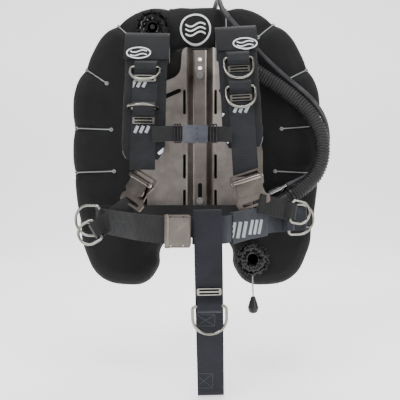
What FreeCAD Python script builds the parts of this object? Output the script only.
import FreeCAD, Part
import math
import os
from FreeCAD import Placement, Rotation, Vector

# Diver's buoyancy wing on a steel backplate, with its webbing harness, hoses and buckles.
# Millimetres.  +Z is up, -Y is the side that faces the wearer's back and then the front of
# the harness, +X is to the right seen from the front.  The origin is midway between the two
# cylinder studs, on the plane where a cylinder band seats against the two rear nuts.

document = FreeCAD.newDocument("BuoyancyWing")
sheet = document.addObject("Spreadsheet::Sheet", "Dims")

DIMENSIONS = {
    # backplate
    "plate_thickness": 3.0, "plate_height": 394.0, "stud_spacing": 279.4, "stud_radius": 4.0,
    "stud_hole_radius": 4.5, "channel_floor_y": -15.5, "channel_half": 16.0, "flange_start": 28.0,
    "flange_start_y": -39.5, "flange_edge": 136.0, "flange_edge_y": -54.5,
    # studs and their fixings
    "stud_tail": 18.0, "shank_radius": 3.7, "head_radius": 8.0, "head_height": 5.0, "nut_height": 6.5,
    "nut_flats": 13.0,
    "washer_radius": 9.5, "washer_height": 1.5, "stud_clearance_radius": 4.1,
    "grommet_flange_radius": 9.0, "grommet_barrel_radius": 6.0, "grommet_bore_radius": 4.7,
    # wing
    "wing_shift": -8.0, "wing_front_y": -28.0, "wing_depth": 70.0, "wing_edge_round": 26.0,
    "wing_wall": 4.0, "panel_half": 49.0, "panel_thickness": 4.0, "panel_front_y": -13.0,
    "bungee_radius": 2.0,
    # soft goods
    "webbing_width": 50.0, "webbing_thickness": 3.0, "lower_web_width": 38.0,
    "chest_web_width": 30.0, "chest_web_thickness": 2.4, "pad_thickness": 9.0,
    "pad_width_left": 96.0, "pad_width_right": 90.0, "band_thickness": 2.2,
    "sleeve_width": 58.0, "sleeve_thickness": 8.4,
    # rings, glides and buckles
    "ring_wire_radius": 2.75, "ring_half_width": 29.25, "ring_height": 46.0, "ring_corner": 7.0,
    "small_ring_half_width": 22.5, "glide_width": 44.0, "glide_height": 14.0,
    "glide_thickness": 3.2, "keeper_width": 44.0, "keeper_thickness": 1.8,
    "buckle_plate": 3.0, "lever_plate": 2.5, "pin_radius": 2.5, "pin_clearance": 0.1,
    # hoses
    "hose_radius": 16.5, "lp_hose_radius": 5.5, "cord_radius": 1.5,
    # valves
    "valve_flange_radius": 33.0, "valve_cap_radius": 28.0, "valve_cap_height": 17.0,
    "valve_wall": 2.5, "valve_disc_radius": 15.0,
    # power inflator
    "inflator_radius": 15.0, "inflator_length": 74.0, "button_radius": 7.0,
    "exhaust_radius": 9.5, "button_height": 10.0,
}

for row, (alias, value) in enumerate(DIMENSIONS.items(), start=1):
    sheet.set(f"A{row}", alias)
    sheet.set(f"B{row}", str(value))
    sheet.setAlias(f"B{row}", alias)
document.recompute()


def size(alias):
    return float(sheet.get(alias))


X_AXIS = Vector(1, 0, 0)
Y_AXIS = Vector(0, 1, 0)
Z_AXIS = Vector(0, 0, 1)
FRONT = Vector(0, -1, 0)
SUB_PARTS = []


def register(part, label):
    """Name a finished sub-part; the label is its file's name."""
    part.Label = label
    SUB_PARTS.append(part)
    return part


# ---------------------------------------------------------------- outlines and plain features

def corner_tangents(before, corner, after, radius):
    """Start, middle and end of the arc that rounds one corner."""
    into = (corner - before).normalize()
    out = (after - corner).normalize()
    turn = into.getAngle(out)
    if radius <= 0 or turn < 1e-4:
        return None
    bisector = (out - into).normalize()
    reach = radius * math.tan(turn / 2)
    centre = corner + bisector * (radius / math.cos(turn / 2))
    return corner - into * reach, centre - bisector * radius, corner + out * reach


def rounded_path(corners, closed):
    """Lines and tangent arcs through corners given as (point, radius)."""
    count = len(corners)
    pieces = []
    for index in range(count):
        point, radius = corners[index]
        arc = None
        if closed or 0 < index < count - 1:
            before = corners[index - 1][0]
            after = corners[(index + 1) % count][0]
            arc = corner_tangents(before, point, after, radius)
        pieces.append(arc if arc else (point, None, point))
    edges = []
    for index in range(count if closed else count - 1):
        start, middle, end = pieces[index]
        if middle:
            edges.append(Part.Arc(start, middle, end))
        following = pieces[(index + 1) % count][0]
        if end.distanceToPoint(following) > 1e-4:
            edges.append(Part.LineSegment(end, following))
    return edges


def outline(corners):
    """Closed outline from flat corners (u, v, radius)."""
    return rounded_path([(Vector(u, v, 0), radius) for u, v, radius in corners], True)


def offset_run(corners, distance):
    """An open run of corners moved sideways; positive is to the left of its direction."""
    count = len(corners)
    moved = []
    for index, (u, v, radius) in enumerate(corners):
        here = Vector(u, v, 0)
        steps = []
        if index > 0:
            steps.append((here - Vector(*corners[index - 1][:2], 0)).normalize())
        if index < count - 1:
            steps.append((Vector(*corners[index + 1][:2], 0) - here).normalize())
        normals = [Vector(-step.y, step.x, 0) for step in steps]
        sideways = sum(normals[1:], normals[0]).normalize()
        spread = sideways.dot(normals[0])
        place = here + sideways * (distance / spread)
        if len(steps) == 2 and radius > 0:
            side = 1 if steps[0].cross(steps[1]).z > 0 else -1
            radius = radius - side * distance
        moved.append((place.x, place.y, radius))
    return moved


def strip_outline(corners, thickness):
    """Closed outline of a band of webbing that follows a centre line."""
    left = offset_run(corners, thickness / 2)
    right = offset_run(corners, -thickness / 2)
    return outline(left + right[::-1])


def inset(corners, distance):
    """A closed clockwise outline drawn in by a distance."""
    count = len(corners)
    drawn = []
    for index, (u, v, radius) in enumerate(corners):
        here = Vector(u, v, 0)
        into = (here - Vector(*corners[index - 1][:2], 0)).normalize()
        out = (Vector(*corners[(index + 1) % count][:2], 0) - here).normalize()
        normals = [Vector(into.y, -into.x, 0), Vector(out.y, -out.x, 0)]
        sideways = (normals[0] + normals[1]).normalize()
        place = here + sideways * (distance / sideways.dot(normals[0]))
        convex = into.cross(out).z < 0
        drawn.append((place.x, place.y, radius - distance if convex else radius + distance))
    return drawn


def slot(u, v, length, width, angle=0.0):
    """Outline of a round-ended slot whose long axis is turned by angle from +u."""
    half, radius = length / 2 - width / 2, width / 2
    along = Vector(math.cos(math.radians(angle)), math.sin(math.radians(angle)), 0)
    across = Vector(-along.y, along.x, 0)
    centre = Vector(u, v, 0)
    ends = [centre - along * half, centre + along * half]
    corners = [ends[1] + across * radius, ends[0] + across * radius,
               ends[0] - across * radius, ends[1] - across * radius]
    return [Part.LineSegment(corners[0], corners[1]),
            Part.Arc(corners[1], ends[0] - along * radius, corners[2]),
            Part.LineSegment(corners[2], corners[3]),
            Part.Arc(corners[3], ends[1] + along * radius, corners[0])]


def circle(u, v, radius):
    return [Part.Circle(Vector(u, v, 0), Z_AXIS, radius)]


def new_sketch(body, plane, edges, name):
    """A sketch on one of the body's own origin planes."""
    planes = {feature.Role: feature for feature in body.Origin.OriginFeatures}
    sketch = body.newObject("Sketcher::SketchObject", name)
    sketch.AttachmentSupport = [(planes[plane], "")]
    sketch.MapMode = "FlatFace"
    sketch.addGeometry(edges, False)
    return sketch


def padded(plane, edges, length, name):
    """A body with one pad, even about its sketch plane; length names a dimension."""
    body = document.addObject("PartDesign::Body", name)
    pad = body.newObject("PartDesign::Pad", name + "_pad")
    pad.Profile = new_sketch(body, plane, edges, name + "_profile")
    pad.SideType = "Symmetric"
    pad.setExpression("Length", length)
    document.recompute()
    return body


def pocketed(body, plane, edges):
    """Cut an outline right through a body, both ways from the sketch plane."""
    before = body.Shape.Volume
    pocket = body.newObject("PartDesign::Pocket", body.Name + "_pocket")
    pocket.Profile = new_sketch(body, plane, edges, body.Name + "_opening")
    pocket.SideType = "Symmetric"
    pocket.Length = 400
    document.recompute()
    if body.Shape.Volume >= before - 1e-3:
        raise ValueError(body.Name + ": the pocket cut nothing")
    return body


def cylinder(name, radius, height, base, direction=Z_AXIS):
    """A cylinder whose radius and height are expressions over the dimensions."""
    part = document.addObject("Part::Cylinder", name)
    part.setExpression("Radius", radius)
    part.setExpression("Height", height)
    part.Placement = Placement(base, Rotation(Z_AXIS, direction))
    return part


def joined(name, parts):
    fused = document.addObject("Part::MultiFuse", name)
    fused.Shapes = parts
    return fused


def cut(name, base, tool):
    part = document.addObject("Part::Cut", name)
    part.Base = base
    part.Tool = tool
    return part


def grouped(name, parts):
    """Separate solids that share one node."""
    group = document.addObject("Part::Compound", name)
    group.Links = parts
    return group


def swept_cord(name, points, radius, report_name):
    """A round cord along straight runs joined by the largest tangent arcs they allow."""
    corners = []
    tightest = None
    for index, point in enumerate(points):
        bend = 0.0
        if 0 < index < len(points) - 1:
            before, after = points[index - 1], points[index + 1]
            turn = (point - before).getAngle(after - point)
            shorter = min(point.distanceToPoint(before), point.distanceToPoint(after))
            bend = 0.45 * shorter / math.tan(turn / 2)
            tightest = bend if tightest is None else min(tightest, bend)
        corners.append((point, bend))
    path = Part.Wire([edge.toShape() for edge in rounded_path(corners, False)])
    start = (points[1] - points[0]).normalize()
    section = Part.Wire([Part.Circle(points[0], start, radius).toShape()])
    solid = path.makePipeShell([section], True, False)
    expected = math.pi * radius ** 2 * path.Length
    print(f"{report_name}: length {path.Length:.1f}, tightest radius {tightest or 0:.1f}, "
          f"volume {solid.Volume / expected:.4f} of section times length")
    part = document.addObject("Part::Feature", name)
    part.Shape = solid
    part.Placement = Placement()
    return part


def mirrored_x(corners):
    """Close a half outline, given from the top clockwise, with its mirror image."""
    return corners + [(-u, v, radius) for u, v, radius in reversed(corners)]


def placed(parts, placement):
    for part in parts:
        part.Placement = placement.multiply(part.Placement)
    return parts


# ---------------------------------------------------------------- backplate

floor_y = size("channel_floor_y")
plate_section = [
    (-size("flange_edge"), size("flange_edge_y"), 0),
    (-size("flange_start"), size("flange_start_y"), 8),
    (-size("channel_half"), floor_y, 8),
    (size("channel_half"), floor_y, 8),
    (size("flange_start"), size("flange_start_y"), 8),
    (size("flange_edge"), size("flange_edge_y"), 0),
]
plate = padded("XY_Plane", strip_outline(plate_section, size("plate_thickness")),
               "Dims.plate_height", "backplate")
half_height = size("plate_height") / 2
plate_outline = mirrored_x([
    (39, half_height, 14), (43, 136, 30), (78, 120, 26), (112, 50, 90), (136, -30, 60),
    (136, -160, 34), (118, -half_height, 30),
])
surround = outline([(-200, 260, 0), (200, 260, 0), (200, -260, 0), (-200, -260, 0)])
pocketed(plate, "XZ_Plane", surround + outline(plate_outline))

stud_z = size("stud_spacing") / 2
FREE_HOLES_Z = (177.0, 157.6)
for free_hole_z in FREE_HOLES_Z:
    pocketed(plate, "XZ_Plane", circle(0, free_hole_z, size("stud_hole_radius")))
pocketed(plate, "XZ_Plane", circle(0, stud_z, size("stud_hole_radius")))
CENTRE_SLOT_TOP = -99.5
centre_slot_end = -stud_z - size("stud_hole_radius")
pocketed(plate, "XZ_Plane", slot(0, (CENTRE_SLOT_TOP + centre_slot_end) / 2,
                                 CENTRE_SLOT_TOP - centre_slot_end,
                                 2 * size("stud_hole_radius"), 90))
BAND_SLOT_X = 34.0
BAND_SLOT_WIDTH = 6.0
BAND_SLOTS = ((77.0, 54.0), (-64.0, 53.0), (-137.0, 44.0))
SHOULDER_SLOT = (66.0, 92.0, 54.0, 9.0, -25.0)
WAIST_SLOT = (119.0, -160.0, 54.0, 9.0, 90.0)
for side in (-1, 1):
    for centre_z, slot_height in BAND_SLOTS:
        pocketed(plate, "XZ_Plane", slot(side * BAND_SLOT_X, centre_z, slot_height,
                                         BAND_SLOT_WIDTH, 90))
    for u, v, length, width, angle in (SHOULDER_SLOT, WAIST_SLOT):
        pocketed(plate, "XZ_Plane", slot(side * u, v, length, width, side * angle))
CROTCH_SLOT_Z = -184.0
pocketed(plate, "XZ_Plane", slot(0, CROTCH_SLOT_Z, 54, 8))
register(plate, "backplate")

# ---------------------------------------------------------------- studs, nuts and grommets

plate_front_y = floor_y - size("plate_thickness") / 2
studs, washers, nuts = [], [], []
for index, centre_z in enumerate((stud_z, -stud_z)):
    head_base = Vector(0, plate_front_y, centre_z)
    # the shank is waisted where it passes the plate and nut, and full size on its free tail
    shank = cylinder(f"stud_shank{index}", "Dims.shank_radius",
                     f"-({plate_front_y})", head_base, Y_AXIS)
    tail = cylinder(f"stud_tail{index}", "Dims.stud_radius", "Dims.stud_tail",
                    Vector(0, 0, centre_z), Y_AXIS)
    head = cylinder(f"stud_head{index}", "Dims.head_radius", "Dims.head_height", head_base, FRONT)
    studs.append(joined(f"stud{index}", [shank, tail, head]))
    nut_base = Vector(0, 0, centre_z)
    nut = document.addObject("Part::Prism", f"nut_blank{index}")
    nut.Polygon = 6
    nut.setExpression("Circumradius", "Dims.nut_flats / 2 / cos(30)")
    nut.setExpression("Height", "Dims.nut_height")
    nut.Placement = Placement(nut_base, Rotation(Z_AXIS, FRONT))
    bore = cylinder(f"nut_bore{index}", "Dims.stud_clearance_radius", "Dims.nut_height", nut_base, FRONT)
    nuts.append(cut(f"nut{index}", nut, bore))
    washer_base = Vector(0, -size("nut_height"), centre_z)
    disc = cylinder(f"washer_disc{index}", "Dims.washer_radius", "Dims.washer_height",
                    washer_base, FRONT)
    eye = cylinder(f"washer_eye{index}", "Dims.stud_clearance_radius", "Dims.washer_height",
                   washer_base, FRONT)
    washers.append(cut(f"washer{index}", disc, eye))
register(grouped("studs", studs), "tank_studs")
register(grouped("washers", washers), "stud_washers")
register(grouped("nuts", nuts), "stud_nuts")

GROMMET_FLANGE = 0.9
panel_front = size("panel_front_y")
panel_back = panel_front + size("panel_thickness")
hole_heights = (*FREE_HOLES_Z, stud_z, -stud_z)
grommets = []
for index, centre_z in enumerate(hole_heights):
    profile = [
        (size("grommet_bore_radius"), panel_front - GROMMET_FLANGE, 0),
        (size("grommet_flange_radius"), panel_front - GROMMET_FLANGE, 0),
        (size("grommet_flange_radius"), panel_front - 0.1, 0),
        (size("grommet_barrel_radius"), panel_front - 0.1, 0),
        (size("grommet_barrel_radius"), panel_back + 0.1, 0),
        (size("grommet_flange_radius"), panel_back + 0.1, 0),
        (size("grommet_flange_radius"), panel_back + GROMMET_FLANGE, 0),
        (size("grommet_bore_radius"), panel_back + GROMMET_FLANGE, 0),
    ]
    body = document.addObject("PartDesign::Body", f"grommet{index}")
    revolution = body.newObject("PartDesign::Revolution", f"grommet_turn{index}")
    section = new_sketch(body, "XY_Plane", outline(profile), f"grommet_profile{index}")
    revolution.Profile = section
    revolution.ReferenceAxis = (section, ["V_Axis"])
    revolution.Angle = 360
    body.Placement = Placement(Vector(0, 0, centre_z), Rotation())
    grommets.append(body)
register(grouped("grommets", grommets), "panel_grommets")

# ---------------------------------------------------------------- wing

WING_HALF = [
    (60, 298, 60), (122, 298, 130), (216, 240, 110), (284, 110, 150), (284, -70, 300),
    (262, -235, 150), (224, -327, 80), (110, -335, 62), (74, -285, 40),
]
TROUGH_HALF = 46.0
TROUGH_TOP = 203.0
GAP_TOP = -228.0
wing_corners = WING_HALF + [(72, GAP_TOP - 22, 22), (TROUGH_HALF, GAP_TOP + 22, 22),
                            (TROUGH_HALF, TROUGH_TOP, 20)]
wing_outline = mirrored_x(wing_corners)
wing_middle_y = size("wing_front_y") + size("wing_depth") / 2


def cushion(name, corners, depth, rounding):
    """A pad of the outline whose front and rear rims are rounded over."""
    body = padded("XZ_Plane", outline(corners), depth, name)
    pad = body.Tip
    rims = []
    for number, edge in enumerate(pad.Shape.Edges, start=1):
        ends = [vertex.Point.y for vertex in edge.Vertexes]
        if max(ends) - min(ends) < 1e-6:
            rims.append(f"Edge{number}")
    fillet = body.newObject("PartDesign::Fillet", name + "_rims")
    fillet.Base = (pad, rims)
    fillet.setExpression("Radius", rounding)
    body.Placement = Placement(Vector(size("wing_shift"), wing_middle_y, 0), Rotation())
    document.recompute()
    return body


shell_solid = cushion("wing_outer", wing_outline, "Dims.wing_depth", "Dims.wing_edge_round")
cavity = cushion("wing_cavity", inset(wing_outline, size("wing_wall")),
                 "Dims.wing_depth - 2 * Dims.wing_wall", "Dims.wing_edge_round - Dims.wing_wall")
register(cut("shell", shell_solid, cavity), "wing_shell")
BLADDER_GAP = 0.5
BLADDER_FILM = 0.8


def bladder_form(name, depth_inside):
    """The bladder's form at some depth inside the cover's inner face."""
    return cushion(name, inset(wing_outline, size("wing_wall") + depth_inside),
                   f"Dims.wing_depth - 2 * Dims.wing_wall - {2 * depth_inside}",
                   f"Dims.wing_edge_round - Dims.wing_wall - {depth_inside}")


film = cut("bladder", bladder_form("bladder_outer", BLADDER_GAP),
           bladder_form("bladder_air", BLADDER_GAP + BLADDER_FILM))
register(film, "wing_bladder")

panel_half = size("panel_half")
panel = padded("XZ_Plane", outline([(-panel_half, TROUGH_TOP - 8, 4), (panel_half, TROUGH_TOP - 8, 4),
                                    (panel_half, GAP_TOP + 6, 4), (-panel_half, GAP_TOP + 6, 4)]),
               "Dims.panel_thickness", "center_panel")
for centre_z in hole_heights:
    hole_radius = size("grommet_barrel_radius") + 0.1
    pocketed(panel, "XZ_Plane", circle(-size("wing_shift"), centre_z, hole_radius))
panel.Placement = Placement(Vector(size("wing_shift"), (panel_front + panel_back) / 2, 0), Rotation())
register(panel, "wing_center_panel")

# Each retraction cord runs from the front of a lobe over its outer edge to the back.
BUNGEE_RUNS = [
    ((-62, 252), (-66, 300)), ((58, 240), (58, 298)), ((-150, 218), (-192, 262)),
    ((128, 222), (176, 268)), ((-206, 120), (-262, 160)), ((196, 130), (256, 164)),
    ((-196, 18), (-290, 24)), ((180, 20), (276, 30)), ((-190, -74), (-292, -76)),
    ((166, -74), (276, -78)), ((-214, -190), (-286, -188)), ((214, -196), (262, -200)),
]
REAR_RUN = 0.5
bungees = []
for index, (inner, rim) in enumerate(BUNGEE_RUNS):
    inner_point = Vector(inner[0], 0, inner[1])
    rim_point = Vector(rim[0], 0, rim[1])
    outward = (rim_point - inner_point).normalize()
    reach = inner_point.distanceToPoint(rim_point) + 7
    clearance = size("bungee_radius") + 0.6
    front_y = size("wing_front_y") - clearance
    back_y = front_y + size("wing_depth") + 2 * clearance
    corners = [(0, front_y, 0), (reach, front_y, 29), (reach, back_y, 29),
               (reach * REAR_RUN, back_y, 0)]
    body = document.addObject("PartDesign::Body", f"bungee{index}")
    spine = new_sketch(body, "XY_Plane",
                       rounded_path([(Vector(u, v, 0), r) for u, v, r in corners], False),
                       f"bungee_line{index}")
    ring = new_sketch(body, "YZ_Plane", circle(front_y, 0, size("bungee_radius")),
                      f"bungee_section{index}")
    document.recompute()
    pipe = body.newObject("PartDesign::AdditivePipe", f"bungee_pipe{index}")
    pipe.Profile = ring
    pipe.Spine = (spine, [f"Edge{number + 1}" for number in range(len(spine.Geometry))])
    upright = Y_AXIS.cross(outward) * -1
    body.Placement = Placement(inner_point, Rotation(outward, Y_AXIS, upright, "XYZ"))
    bungees.append(body)
register(grouped("bungees", bungees), "wing_bungees")
document.recompute()

# ---------------------------------------------------------------- valves


def valve_shell(name, centre, height):
    """A hollow round cap, open towards the wing, with a cord port at its lower edge."""
    outer = cylinder(name + "_outer", "Dims.valve_cap_radius", height, centre, FRONT)
    inner_height = f"{height} - Dims.valve_wall"
    inner = cylinder(name + "_inner", "Dims.valve_cap_radius - Dims.valve_wall", inner_height,
                     centre, FRONT)
    return cut(name + "_shell", outer, inner)


def valve_flange(name, centre):
    """Round flange against the fabric, with a raised seat ring around its bore."""
    height = "2.6"
    flange = cylinder(name + "_flange", "Dims.valve_flange_radius", height, centre, FRONT)
    seat_base = centre + FRONT * 2.6
    seat = cylinder(name + "_seat", "Dims.valve_disc_radius - 2", "2", seat_base, FRONT)
    bore = cylinder(name + "_bore", "Dims.valve_disc_radius - 5", "10", centre, FRONT)
    return cut(name + "_base", joined(name + "_ring", [flange, seat]), bore)


flange_y = size("wing_front_y") - 0.3
DUMP_VALVE = Vector(115, flange_y, -266)
register(valve_flange("dump", DUMP_VALVE), "dump_valve_base")
cap_base = DUMP_VALVE + FRONT * 2.7
dump_cap = valve_shell("dump", cap_base, "Dims.valve_cap_height")
port = cylinder("dump_port", "Dims.cord_radius + 0.8", "20",
                cap_base + Vector(0, -8, -14), Vector(0, 0, -1))
register(cut("dump_cap", dump_cap, port), "dump_valve_cap")
disc_y = DUMP_VALVE.y - 4.9
dump_disc = cylinder("dump_disc", "Dims.valve_disc_radius", "1.6",
                     Vector(DUMP_VALVE.x, disc_y, DUMP_VALVE.z), FRONT)
register(dump_disc, "dump_valve_disc")

SPRING_TURNS = 3
spring_gap = cap_base.y - size("valve_cap_height") + size("valve_wall") - (disc_y - 1.6)
spring_wire = 0.6
spring_height = abs(spring_gap) - 2 * spring_wire - 0.4
helix = Part.makeHelix(spring_height / SPRING_TURNS, spring_height, 6.5)
coil_section = Part.Wire([Part.Circle(Vector(6.5, 0, 0), Y_AXIS, spring_wire).toShape()])
spring = document.addObject("Part::Feature", "spring")
spring.Shape = Part.Wire(helix.Edges).makePipeShell([coil_section], True, True)
spring.Placement = Placement(Vector(DUMP_VALVE.x, disc_y - 1.6 - spring_wire - 0.2, DUMP_VALVE.z),
                             Rotation(Z_AXIS, FRONT))
register(spring, "dump_spring")

CORD_TOP_Z = DUMP_VALVE.z - 12
CORD_END_Z = -349.0
cord_x, cord_y = DUMP_VALVE.x, cap_base.y - 8
register(swept_cord("pull_cord", [
    Vector(cord_x, cord_y, CORD_TOP_Z), Vector(cord_x, cord_y, CORD_TOP_Z - 36),
    Vector(cord_x + 1.5, cord_y, CORD_END_Z),
], size("cord_radius"), "dump cord"), "dump_cord")
knob_profile = [(0, 0, 0), (4.5, 0, 0), (7.5, -9, 6), (12, -24, 9), (9, -35, 7), (0, -37, 0)]
knob = document.addObject("PartDesign::Body", "knob")
knob_turn = knob.newObject("PartDesign::Revolution", "knob_turn")
knob_section = new_sketch(knob, "XZ_Plane", outline(knob_profile), "knob_profile")
knob_turn.Profile = knob_section
knob_turn.ReferenceAxis = (knob_section, ["V_Axis"])
knob_turn.Angle = 360
knob.Placement = Placement(Vector(cord_x + 1.5, cord_y, CORD_END_Z), Rotation())
register(knob, "dump_knob")

SHOULDER_VALVE = Vector(-103, flange_y, 238)
register(valve_flange("relief", SHOULDER_VALVE), "shoulder_valve_base")
relief_base = SHOULDER_VALVE + FRONT * 2.7
relief_cap = valve_shell("relief", relief_base, "Dims.valve_cap_height")
STEM_RADIUS = 5.0
stem_port = cylinder("relief_port", f"{STEM_RADIUS} + 0.1", "40", relief_base, FRONT)
register(cut("relief_cap", relief_cap, stem_port), "shoulder_valve_cap")
stem_foot = cylinder("stem_foot", "Dims.valve_disc_radius", "1.6",
                     SHOULDER_VALVE + FRONT * 4.9, FRONT)
stem_rod = cylinder("stem_rod", str(STEM_RADIUS), "20", SHOULDER_VALVE + FRONT * 5, FRONT)
register(joined("stem", [stem_foot, stem_rod]), "shoulder_valve_stem")

# ---------------------------------------------------------------- hoses and power inflator

HOSE_ROUTE = [
    (107, -47, 152), (142, -50, 129), (196, -54, 91), (240, -60, 48), (263, -68, -4),
    (260, -76, -59), (231, -82, -106), (185, -86, -134),
]
hose_points = [Vector(*place) for place in HOSE_ROUTE]
register(swept_cord("breathing_hose", hose_points, size("hose_radius"), "corrugated hose"),
         "corrugated_hose")
hose_start = (hose_points[1] - hose_points[0]).normalize()
hose_end = (hose_points[-1] - hose_points[-2]).normalize()

ELBOW_FLANGE = Vector(85, flange_y, 166.5)
elbow_turn = Vector(ELBOW_FLANGE.x, hose_points[0].y, ELBOW_FLANGE.z)
elbow_flange = cylinder("elbow_flange", "24", "3", ELBOW_FLANGE, FRONT)
elbow_neck = cylinder("elbow_neck", "13", str(abs(elbow_turn.y - ELBOW_FLANGE.y)), ELBOW_FLANGE, FRONT)
elbow_ball = document.addObject("Part::Sphere", "elbow_ball")
elbow_ball.Radius = 13.2
elbow_ball.Placement = Placement(elbow_turn, Rotation())
elbow_run = hose_points[0] - elbow_turn
elbow_spout = cylinder("elbow_spout", "13.1", str(elbow_run.Length - 0.05), elbow_turn, elbow_run)
register(joined("elbow", [elbow_flange, elbow_neck, elbow_ball, elbow_spout]), "hose_elbow")

CLAMP_WIDTH = 5.0
clamps = []
for index, (end, inward) in enumerate(((hose_points[0], hose_start), (hose_points[-1], hose_end * -1))):
    clamp_base = end + inward * 7
    band = cylinder(f"clamp_band{index}", "Dims.hose_radius + 1.6", str(CLAMP_WIDTH), clamp_base, inward)
    eye = cylinder(f"clamp_eye{index}", "Dims.hose_radius + 0.2", str(CLAMP_WIDTH), clamp_base, inward)
    clamps.append(cut(f"clamp{index}", band, eye))
register(grouped("clamps", clamps), "hose_clamps")

# The inflator's axis carries on from the hose's end, towards the middle of the harness.
inflator_start = hose_points[-1] + hose_end * 0.05
inflator_axis = hose_end
barrel = cylinder("inflator_barrel", "Dims.inflator_radius", "Dims.inflator_length",
                  inflator_start, inflator_axis)
inflator_side = inflator_axis.cross(Z_AXIS).normalize()
if inflator_side.y > 0:
    inflator_side = inflator_side * -1
inflator_up = inflator_side.cross(inflator_axis).normalize()
if inflator_up.z < 0:
    inflator_up = inflator_up * -1
inlet_direction = (inflator_up * 0.86 - inflator_side * 0.5).normalize()
BUTTON_PLACE = 50.0
BUTTON_RECESS = 8.0
button_base = (inflator_start + inflator_axis * BUTTON_PLACE
               + inflator_side * (size("inflator_radius") - BUTTON_RECESS))
button_well = cylinder("button_well", "Dims.button_radius + 0.3", "20", button_base, inflator_side)
exhaust_base = inflator_start + inflator_axis * (size("inflator_length") - BUTTON_RECESS)
exhaust_well = cylinder("exhaust_well", "Dims.exhaust_radius + 0.3", "20", exhaust_base, inflator_axis)
mouth_base = inflator_start + inflator_axis * 58 + inflator_up * (size("inflator_radius") - 1)
inlet_place = inflator_start + inflator_axis * 36 + inlet_direction * (size("inflator_radius") - 2)
inlet = cylinder("inflator_inlet", "5", "12", inlet_place, inlet_direction)
wells = joined("inflator_wells", [button_well, exhaust_well])
register(cut("inflator", joined("inflator_blank", [barrel, inlet]), wells), "inflator_body")
BUTTON_GAP = 5.5
register(cylinder("inflate_button", "Dims.button_radius", "Dims.button_height",
                  button_base + inflator_side * BUTTON_GAP, inflator_side), "inflate_button")
register(cylinder("exhaust_button", "Dims.exhaust_radius", "Dims.button_height",
                  exhaust_base + inflator_axis * BUTTON_GAP, inflator_axis), "exhaust_button")
mouth_tube = cylinder("mouth_tube", "9", "26", mouth_base, inflator_up)
mouth_bore = cylinder("mouth_bore", "6.5", "24", mouth_base + inflator_up * 4, inflator_up)
register(cut("mouth", mouth_tube, mouth_bore), "mouthpiece")

# The low-pressure hose comes over the wing's top edge and ends in a push-on coupling.
COUPLING_SPAN = 50.0
coupling_direction = Vector(-0.88, 0, -0.47).normalize()
coupling_end = inlet_place + inlet_direction * (12 + 5.2)
coupling_start = coupling_end - coupling_direction * COUPLING_SPAN
LP_ROUTE = [
    (24, 54, 226), (27, 58, 258), (31, 46, 298), (38, 14, 316), (42, -24, 310), (48, -42, 278),
    (88, -41, 234), (134, -42, 180), (186, -46, 130), (238, -50, 88), (268, -50, 48),
    (279, -47, 8), (276, -46, -34), (250, -50, -74), (224, -60, -90),
]
lp_points = [Vector(*place) for place in LP_ROUTE] + [coupling_start]
lp_hose = swept_cord("lp_line", lp_points, size("lp_hose_radius"), "low-pressure hose")
register(lp_hose, "lp_hose")
lp_entry = (lp_points[-1] - lp_points[-2]).normalize()
tail_direction = (lp_points[0] - lp_points[1]).normalize()
tail_start = lp_points[0] + tail_direction * 0.05
tail_ferrule = cylinder("tail_ferrule", "7.5", "18", tail_start, tail_direction)
tail_hex = document.addObject("Part::Prism", "tail_hex")
tail_hex.Polygon = 6
tail_hex.Circumradius = 9
tail_hex.Height = 9
tail_hex.Placement = Placement(tail_start + tail_direction * 18, Rotation(Z_AXIS, tail_direction))
tail_thread = cylinder("tail_thread", "4.8", "11", tail_start + tail_direction * 27, tail_direction)
register(joined("tail", [tail_ferrule, tail_hex, tail_thread]), "lp_regulator_fitting")
core_run = coupling_end - coupling_start
core = cylinder("coupling_core", "5", str(core_run.Length), coupling_start + lp_entry * 0.05, core_run)
core_ball = document.addObject("Part::Sphere", "core_ball")
core_ball.Radius = 4.8
core_ball.Placement = Placement(coupling_end, Rotation())
register(joined("coupling", [core, core_ball]), "lp_coupling_core")
COLLAR_LENGTH = 26.0
collar_base = coupling_start + coupling_direction * 14
collar_ring = cylinder("collar_ring", "8", str(COLLAR_LENGTH), collar_base, coupling_direction)
collar_bore = cylinder("collar_bore", "5.1", str(COLLAR_LENGTH), collar_base, coupling_direction)
register(cut("collar", collar_ring, collar_bore), "lp_coupling_collar")

# ---------------------------------------------------------------- rings, glides and keepers


def d_ring(name, half_width, height):
    """A bent-wire ring: a straight bar through the origin and a bow that hangs below it."""
    corner = size("ring_corner")
    wire = size("ring_wire_radius")
    body = document.addObject("PartDesign::Body", name)
    corners = [(-half_width, 0, corner), (half_width, 0, corner),
               (half_width, -height, half_width - 0.5), (-half_width, -height, half_width - 0.5)]
    edges = outline(corners)
    spine = new_sketch(body, "XZ_Plane", edges, name + "_line")
    section = new_sketch(body, "YZ_Plane", circle(0, 0, wire), name + "_wire")
    document.recompute()
    pipe = body.newObject("PartDesign::AdditivePipe", name + "_pipe")
    pipe.Profile = section
    pipe.Spine = (spine, [f"Edge{number + 1}" for number in range(len(edges))])
    return body


def bar_offset():
    """How far a ring's bar stands in front of the centre line of its webbing."""
    return size("webbing_thickness") / 2 + size("ring_wire_radius") + 0.6


def keeper(name, bar, slope, width="Dims.keeper_width"):
    """A fold of webbing sewn over a ring's bar; bar is its place on the webbing."""
    forward = -bar_offset() - size("ring_wire_radius") - 1.6
    run = [(-1.0, 15, 0), (forward, 6.5, 4.6), (forward, -6.5, 4.6), (-1.0, -15, 0)]
    body = padded("YZ_Plane", strip_outline(run, size("keeper_thickness")), width, name)
    body.Placement = Placement(bar, Rotation(X_AXIS, slope))
    return body


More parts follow.
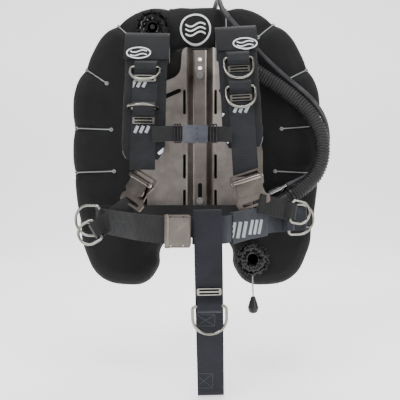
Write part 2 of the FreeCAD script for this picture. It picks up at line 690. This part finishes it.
def glide(name, place, slope, width="Dims.glide_width"):
    """A three-bar steel slide lying on the front of the webbing."""
    half_width = size("glide_width") / 2
    half = size("glide_height") / 2
    body = padded("XZ_Plane", outline([(-half_width, half, 3), (half_width, half, 3),
                                       (half_width, -half, 3), (-half_width, -half, 3)]),
                  "Dims.glide_thickness", name)
    for window_z in (-3.3, 3.3):
        pocketed(body, "XZ_Plane", slot(0, window_z, size("glide_width") - 8, 3.6))
    forward = -(size("webbing_thickness") + size("glide_thickness")) / 2 - 0.1
    lifted = Placement(place, Rotation(X_AXIS, slope)).multiply(
        Placement(Vector(0, forward, 0), Rotation()))
    body.Placement = lifted
    return body


# ---------------------------------------------------------------- shoulder straps
# Each strap is drawn in its own upright plane (y, z), from behind the plate, over the
# shoulder and down the front, then moved to its side and leant by a few degrees.

STRAP_RUN = {
    "left": [(-38, 86, 0), (-52, 100, 8), (-80, 186, 13), (-106, 200, 21), (-128, 150, 60),
             (-150, 56, 200), (-167, -60, 100), (-168.5, -78, 0)],
    "right": [(-38, 86, 0), (-52, 100, 8), (-80, 200, 13), (-106, 214, 21), (-128, 162, 60),
              (-150, 62, 200), (-168, -60, 150), (-171, -92, 0)],
}
STRAP_PLACE = {
    "left": Placement(Vector(-112, 0, 0), Rotation(Y_AXIS, 1.0)),
    "right": Placement(Vector(85, 0, 0), Rotation(Y_AXIS, -3.0)),
}
PAD_REAR_SHARE = 0.62
PAD_FOOT = {"left": -62.0, "right": -38.0}
RING_BARS = {
    "left": {"upper": (129.0, 34.0), "lower": (42.0, 84.0)},
    "right": {"upper": (149.0, 4.0), "lower": (88.0, 6.0)},
}


def on_run(run, height):
    """Place and slope of a strap's front leg at a height."""
    for (y1, z1, _), (y2, z2, _) in zip(run[3:], run[4:]):
        if z2 <= height <= z1:
            share = (z1 - height) / (z1 - z2)
            slope = math.degrees(math.atan2(y1 - y2, z1 - z2))
            return Vector(0, y1 + share * (y2 - y1), height), slope
    raise ValueError("no front leg at that height")


glides = []
bands = []
rings = []
for side, run in STRAP_RUN.items():
    web = padded("YZ_Plane", strip_outline(run, size("webbing_thickness")),
                 "Dims.webbing_width", f"web_{side}")
    pieces = [web]
    for level, (bar_z, lift) in RING_BARS[side].items():
        bar, slope = on_run(run, bar_z)
        pieces.append(keeper(f"keeper_{side}_{level}", bar, -slope))
        ring_name = f"shoulder_ring_{side}_{level}"
        ring = d_ring(ring_name, size("ring_half_width"), size("ring_height"))
        hang = Placement(bar, Rotation(X_AXIS, -slope))
        forward = Placement(Vector(0, -bar_offset(), 0), Rotation(X_AXIS, -lift))
        ring.Placement = hang.multiply(forward)
        rings.append((ring, ring_name, STRAP_PLACE[side]))
        glide_place, glide_slope = on_run(run, bar_z - 23)
        glides += placed([glide(f"glide_{side}_{level}", glide_place, -glide_slope)], STRAP_PLACE[side])
    document.recompute()
    strap = joined(f"strap_{side}", pieces)
    strap.Placement = STRAP_PLACE[side]
    register(strap, f"shoulder_web_{side}")

    front_z = PAD_FOOT[side]
    gap = (size("webbing_thickness") + size("pad_thickness")) / 2 + 0.9
    inner_run = offset_run(run, gap)
    pad_top = [(inner_run[1][0] + (inner_run[2][0] - inner_run[1][0]) * PAD_REAR_SHARE,
                inner_run[1][1] + (inner_run[2][1] - inner_run[1][1]) * PAD_REAR_SHARE, 0)]
    last_share = (inner_run[5][1] - front_z) / (inner_run[5][1] - inner_run[6][1])
    pad_foot = [(inner_run[5][0] + (inner_run[6][0] - inner_run[5][0]) * last_share, front_z, 0)]
    pad_run = pad_top + inner_run[2:6] + pad_foot
    pad_body = padded("YZ_Plane", strip_outline(pad_run, size("pad_thickness")),
                      f"Dims.pad_width_{side}", f"pad_{side}")
    pad_body.Placement = STRAP_PLACE[side]
    register(pad_body, f"shoulder_pad_{side}")

    outer_run = offset_run(run, -(size("webbing_thickness") + size("band_thickness")) / 2 - 0.3)
    band_end = on_run(run, RING_BARS[side]["upper"][0] + 19)[0]
    shift = outer_run[3][0] - run[3][0]
    top = outer_run[3]
    lower = (band_end.y - (size("webbing_thickness") + size("band_thickness")) / 2 - 0.6, band_end.z, 0)
    upper = (top[0] + 14, top[1] + 7.6, 0)
    band = padded("YZ_Plane", strip_outline([upper, top, lower], size("band_thickness")),
                  f"Dims.pad_width_{side} - 4", f"band_{side}")
    bands += placed([band], STRAP_PLACE[side])

register(grouped("bands", bands), "pad_bands")
for ring, ring_name, strap_place in rings:
    placed([ring], strap_place)
    register(ring, ring_name)
document.recompute()

# ---------------------------------------------------------------- quick-release buckles
# A steel frame hangs from each shoulder strap; a hook plate below it takes the lower strap.
# A sprung lever turns on a pin across the frame and holds the hook.

BUCKLE_PLACE = {
    "left": Placement(Vector(-122, -178, -118), Rotation(Y_AXIS, 31)
                      .multiply(Rotation(Z_AXIS, -38))),
    "right": Placement(Vector(97, -177, -118), Rotation(Y_AXIS, -18)),
}
FRAME_OUTLINE = [(-31, 36, 6), (31, 36, 6), (34, 20, 6), (30, 4, 5), (-30, 4, 5), (-34, 20, 6)]
HOOK_OUTLINE = [(-24, 12, 3), (24, 12, 3), (28, -14, 5), (34, -20, 4), (32, -34, 6), (-32, -34, 6),
                (-34, -20, 4), (-28, -14, 5)]
LEVER_OUTLINE = [(-23, 18, 2), (23, 18, 2), (26, -6, 5), (16, -12, 5), (-16, -12, 5), (-26, -6, 5)]
PIN_HEIGHT = 20.0
frame_thickness = size("buckle_plate")
pin_forward = -(frame_thickness / 2 + size("pin_radius") + 2.8)
frames, hooks, levers, pins = [], [], {}, []
for side, place in BUCKLE_PLACE.items():
    frame = padded("XZ_Plane", outline(FRAME_OUTLINE), "Dims.buckle_plate", f"buckle_frame_{side}")
    pocketed(frame, "XZ_Plane", slot(0, 29.5, 53, 5.5))
    ears = []
    for hand in (-1, 1):
        ear = document.addObject("Part::Box", f"ear_{side}{hand}")
        ear.Length = 4
        ear.Width = -pin_forward + 4 - frame_thickness / 2 + 0.2
        ear.Height = 9
        ear_y = pin_forward - 4
        ear.Placement = Placement(Vector(hand * 29 - 2, ear_y, PIN_HEIGHT - 4.5), Rotation())
        ears.append(ear)
    pin_bore = cylinder(f"ear_bore_{side}", "Dims.pin_radius + 0.02", "70",
                        Vector(-35, pin_forward, PIN_HEIGHT), X_AXIS)
    whole = cut(f"frame_{side}", joined(f"frame_blank_{side}", [frame] + ears), pin_bore)
    whole.Placement = place
    frames.append(whole)

    hook = padded("XZ_Plane", outline(HOOK_OUTLINE), "Dims.buckle_plate", f"hook_plate_{side}")
    pocketed(hook, "XZ_Plane", slot(0, -26, 46, 7))
    hook.Placement = place.multiply(Placement(Vector(0, frame_thickness + 0.4, 0), Rotation()))
    hooks.append(hook)

    lever_y = pin_forward + 0.6
    lever = padded("XZ_Plane", outline(LEVER_OUTLINE), "Dims.lever_plate", f"lever_plate_{side}")
    lever.Placement = Placement(Vector(0, lever_y, 0), Rotation())
    knuckle = cylinder(f"knuckle_{side}", "Dims.pin_radius + 2.2", "52",
                       Vector(-26, pin_forward, PIN_HEIGHT), X_AXIS)
    knuckle_bore = cylinder(f"knuckle_bore_{side}", "Dims.pin_radius + Dims.pin_clearance", "70",
                            Vector(-35, pin_forward, PIN_HEIGHT), X_AXIS)
    lever_whole = cut(f"lever_{side}", joined(f"lever_blank_{side}", [lever, knuckle]), knuckle_bore)
    lever_whole.Placement = place
    register(lever_whole, f"quick_lever_{side}")

    pin = cylinder(f"pin_{side}", "Dims.pin_radius", "64", Vector(-32, pin_forward, PIN_HEIGHT), X_AXIS)
    pins += placed([pin], place)
register(grouped("frames", frames), "quick_frames")
register(grouped("hooks", hooks), "quick_hooks")

# ---------------------------------------------------------------- lower straps and their rings


def band_place(start, end, front):
    """Placement of a band that runs down its own -Z from start to end and faces front."""
    up = (start - end).normalize()
    back = (front * -1) - up * (front * -1).dot(up)
    back.normalize()
    across = back.cross(up).normalize()
    return Placement(start, Rotation(across, back, up, "ZYX"))


LOWER_ENDS = {
    "left": (Vector(-136, -174, -146), Vector(-203, -149, -194), Vector(-0.35, -0.94, 0)),
    "right": (Vector(115, -182, -144), Vector(181, -142, -159), Vector(0.42, -0.9, 0)),
}
STRAP_RING_LIFT = {"left": 20.0, "right": 14.0}
lower_webs = []
strap_rings = []
for side, (start, end, front) in LOWER_ENDS.items():
    length = start.distanceToPoint(end)
    run = [(0, 0, 0), (0, -length * 0.5, 400), (1, -length - 16, 0)]
    web = padded("YZ_Plane", strip_outline(run, size("webbing_thickness")),
                 "Dims.lower_web_width", f"lower_web_{side}")
    fold = keeper(f"lower_keeper_{side}", Vector(0, 0.7, -length), 1.0, "Dims.lower_web_width - 6")
    web_whole = joined(f"lower_{side}", [web, fold])
    place = band_place(start, end, front)
    web_whole.Placement = place
    lower_webs.append(web_whole)
    ring = d_ring(f"strap_ring_{side}", size("small_ring_half_width"), 40)
    ring.Placement = place.multiply(Placement(Vector(0, 0.7 - bar_offset(), -length),
                                              Rotation(X_AXIS, -STRAP_RING_LIFT[side])))
    strap_rings.append((ring, f"strap_ring_{side}"))
register(grouped("lower", lower_webs), "lower_webs")
for ring, label in strap_rings:
    register(ring, label)

# ---------------------------------------------------------------- waist belt

BELT_TILT = 5.0
BELT_PLACE = Placement(Vector(0, 0, -167.8), Rotation(X_AXIS, BELT_TILT))
BELT_RUN = {
    "left": [(116, -46, 0), (98, -63, 8), (-140, -65, 30), (-204, -80, 14), (-215, -112, 14),
             (-177, -160, 60), (-118, -228, 60), (-62, -269, 30), (-16, -271, 0)],
    "right": [(136, -64, 0), (214, -68, 14), (229, -92, 12), (147, -127, 50), (92, -192, 60),
              (44, -268, 20), (-14, -273, 0)],
}
belts = {}
for side, run in BELT_RUN.items():
    belts[side] = padded("XY_Plane", strip_outline(run, size("webbing_thickness")),
                         "Dims.webbing_width", f"belt_{side}")

hip_rings = []
belt_pieces = {"left": [belts["left"]], "right": [belts["right"]]}
HIP_BARS = {
    "left": (Vector(-199.0, -132.2, 0), Vector(-0.784, -0.620, 0), 35.0),
    "right": (Vector(181.0, -112.5, 0), Vector(0.39, -0.92, 0), 8.0),
}
for side, (place_on_belt, outward, lift) in HIP_BARS.items():
    outward.normalize()
    # Local frame: Z points away from the bow along the belt, Y into the belt, X upright.
    hand = -1 if side == "left" else 1
    along = Vector(-outward.y, outward.x, 0) * hand
    if along.x * hand > 0:
        along = along * -1
    back = outward * -1
    across = back.cross(along)
    local = Placement(place_on_belt, Rotation(across, back, along, "ZYX"))
    fold = keeper(f"hip_keeper_{side}", Vector(), 0.0)
    fold.Placement = local.multiply(fold.Placement)
    belt_pieces[side].append(fold)
    ring = d_ring(f"hip_ring_{side}", size("ring_half_width") + 1.5, 54)
    ring.Placement = BELT_PLACE.multiply(local).multiply(
        Placement(Vector(0, -bar_offset(), 0), Rotation(X_AXIS, -lift)))
    hip_rings.append((ring, f"hip_ring_{side}"))
for side, pieces in belt_pieces.items():
    belt = joined(f"waist_{side}", pieces)
    belt.Placement = BELT_PLACE
    register(belt, f"waist_belt_{side}")

sleeve_run = [(133, -143.5, 0), (92, -192, 60), (57, -247.4, 0)]
sleeve = padded("XY_Plane", strip_outline(sleeve_run, size("sleeve_thickness")),
                "Dims.sleeve_width", "sleeve")
sleeve_bore = [(139, -136.4, 0), (92, -192, 60), (52, -255.3, 0)]
pocket = sleeve.newObject("PartDesign::Pocket", "sleeve_bore")
pocket.Profile = new_sketch(sleeve, "XY_Plane",
                            strip_outline(sleeve_bore, size("webbing_thickness") + 1.2), "bore_line")
pocket.SideType = "Symmetric"
pocket.setExpression("Length", "Dims.webbing_width + 1.6")
sleeve.Placement = BELT_PLACE
register(sleeve, "belt_sleeve")
for ring, label in hip_rings:
    register(ring, label)

# ---------------------------------------------------------------- waist buckle

WAIST_BUCKLE = Placement(Vector(-39.5, -281.5, -192.5), Rotation())
buckle_half = (23.0, 29.0)
waist_plate = padded("XZ_Plane", outline([(-buckle_half[0], buckle_half[1], 4),
                                          (buckle_half[0], buckle_half[1], 4),
                                          (buckle_half[0], -buckle_half[1], 4),
                                          (-buckle_half[0], -buckle_half[1], 4)]),
                     "Dims.buckle_plate", "waist_plate")
for slot_x in (-12, 10):
    pocketed(waist_plate, "XZ_Plane", slot(slot_x, 0, 52, 5, 90))
waist_plate.Placement = WAIST_BUCKLE
waist_ears = []
for hand in (-1, 1):
    ear = document.addObject("Part::Box", f"waist_ear{hand}")
    ear.Length = 9
    ear.Width = -pin_forward + 4 - frame_thickness / 2 + 0.2
    ear.Height = 3.5
    ear.Placement = WAIST_BUCKLE.multiply(
        Placement(Vector(-22.5, pin_forward - 4, hand * 27.2 - 1.75), Rotation()))
    waist_ears.append(ear)
waist_bore = cylinder("waist_bore", "Dims.pin_radius + 0.02", "70",
                      WAIST_BUCKLE.multVec(Vector(-18, pin_forward, -35)), Z_AXIS)
register(cut("waist_frame", joined("waist_blank", [waist_plate] + waist_ears), waist_bore),
         "waist_buckle_plate")
waist_pin = cylinder("waist_pin", "Dims.pin_radius", "59",
                     WAIST_BUCKLE.multVec(Vector(-18, pin_forward, -29.5)), Z_AXIS)
pins.append(waist_pin)
cover = padded("XZ_Plane", outline([(-18, 24.5, 3), (21.5, 24.5, 4), (21.5, -24.5, 4),
                                    (-18, -24.5, 3)]), "Dims.lever_plate", "waist_cover")
cover.Placement = WAIST_BUCKLE.multiply(Placement(Vector(0, pin_forward - 1.0, 0), Rotation()))
waist_knuckle = cylinder("waist_knuckle", "Dims.pin_radius + 1.9", "50",
                         WAIST_BUCKLE.multVec(Vector(-18, pin_forward, -25)), Z_AXIS)
waist_eye = cylinder("waist_eye", "Dims.pin_radius + Dims.pin_clearance", "70",
                     WAIST_BUCKLE.multVec(Vector(-18, pin_forward, -35)), Z_AXIS)
register(cut("waist_lever", joined("waist_lever_blank", [cover, waist_knuckle]), waist_eye),
         "waist_buckle_lever")
register(grouped("pins", pins), "lever_pins")

# ---------------------------------------------------------------- crotch strap

CROTCH_RUN = [(-259, -240, 0), (-259, -156, 6.9), (-281, -156, 6.9), (-276, -260, 300),
              (-200, -509, 9), (-182, -511, 9), (-60, -236, 120), (-47, -190, 6), (-28, -179, 0)]
CROTCH_PLACE = Placement(Vector(10, 0, 0), Rotation(Y_AXIS, -1.2))
crotch = padded("YZ_Plane", strip_outline(CROTCH_RUN, size("webbing_thickness")),
                "Dims.webbing_width", "crotch")
front_top, front_foot = CROTCH_RUN[3], CROTCH_RUN[4]
crotch_slope = -math.degrees(math.atan2(front_foot[0] - front_top[0], front_top[1] - front_foot[1]))


def on_crotch(height):
    share = (front_top[1] - height) / (front_top[1] - front_foot[1])
    return Vector(0, front_top[0] + share * (front_foot[0] - front_top[0]), height)


CROTCH_RING_BAR_Z = -327.0
crotch_keeper = keeper("crotch_keeper", on_crotch(CROTCH_RING_BAR_Z), -crotch_slope)
crotch_web = joined("crotch_web", [crotch, crotch_keeper])
crotch_web.Placement = CROTCH_PLACE
register(crotch_web, "crotch_strap")
crotch_ring = d_ring("crotch_ring", size("ring_half_width") + 1.5, 52)
crotch_ring.Placement = CROTCH_PLACE.multiply(
    Placement(on_crotch(CROTCH_RING_BAR_Z), Rotation(X_AXIS, -crotch_slope))).multiply(
    Placement(Vector(0, -bar_offset(), 0), Rotation(X_AXIS, -10)))
register(crotch_ring, "crotch_ring")
crotch_glide = glide("crotch_glide", on_crotch(-300.0), -crotch_slope)
glides += placed([crotch_glide], CROTCH_PLACE)

# ---------------------------------------------------------------- chest strap

CHEST_RUN = {
    "left": [(-93, -172, 0), (-70, -181, 30), (-34, -184, 0)],
    "right": [(15.4, -184, 0), (44, -182, 30), (62, -176, 0)],
}
CHEST_PLACE = {
    "left": Placement(Vector(0, 0, -9), Rotation(Y_AXIS, 0)),
    "right": Placement(Vector(0, 0, -10), Rotation(Y_AXIS, 0)),
}
for side, run in CHEST_RUN.items():
    web = padded("XY_Plane", strip_outline(run, size("chest_web_thickness")),
                 "Dims.chest_web_width", f"chest_{side}")
    web.Placement = CHEST_PLACE[side]
    register(web, f"chest_web_{side}")
socket_blank = padded("XZ_Plane", outline([(-5, 17, 4), (15, 17, 3), (15, -17, 3), (-5, -17, 4)]),
                      "12", "socket_blank")
socket_blank.Placement = Placement(Vector(0, -184, -10), Rotation())
socket_well = document.addObject("Part::Box", "socket_well")
socket_well.Length, socket_well.Width, socket_well.Height = 16, 6.4, 26
socket_well.Placement = Placement(Vector(-6, -187.2, -23), Rotation())
register(cut("socket", socket_blank, socket_well), "chest_socket")
plug_body = padded("XZ_Plane", outline([(-33, 17, 3), (-6, 17, 4), (-6, -17, 4), (-33, -17, 3)]),
                   "11", "plug_body")
plug_body.Placement = Placement(Vector(0, -184, -10), Rotation())
prongs = []
for hand in (-1, 0, 1):
    prong = document.addObject("Part::Box", f"prong{hand}")
    prong.Length, prong.Width, prong.Height = 16, 5.4, 5
    prong.Placement = Placement(Vector(-8, -186.7, -10 + hand * 10 - 2.5), Rotation())
    prongs.append(prong)
register(joined("plug", [plug_body] + prongs), "chest_plug")
register(grouped("glides", glides), "strap_glides")

# ---------------------------------------------------------------- checks and export

document.recompute()
for item in document.Objects:
    states = set(item.State)
    if states & {"Invalid", "Error"}:
        raise ValueError(f"{item.Name}: {item.State}")
labels = [part.Label for part in SUB_PARTS]
if len(set(labels)) != len(labels) or len(labels) > 60:
    raise ValueError("sub-part labels repeat, or there are too many")
os.makedirs("parts", exist_ok=True)
for part in SUB_PARTS:
    if part.Shape.isNull() or not part.Shape.isValid() or part.Shape.Volume <= 0:
        raise ValueError(part.Label + ": its shape is empty or not valid")
    part.Shape.exportStep(f"parts/{part.Label}.step")
print(len(SUB_PARTS), "sub-parts written")
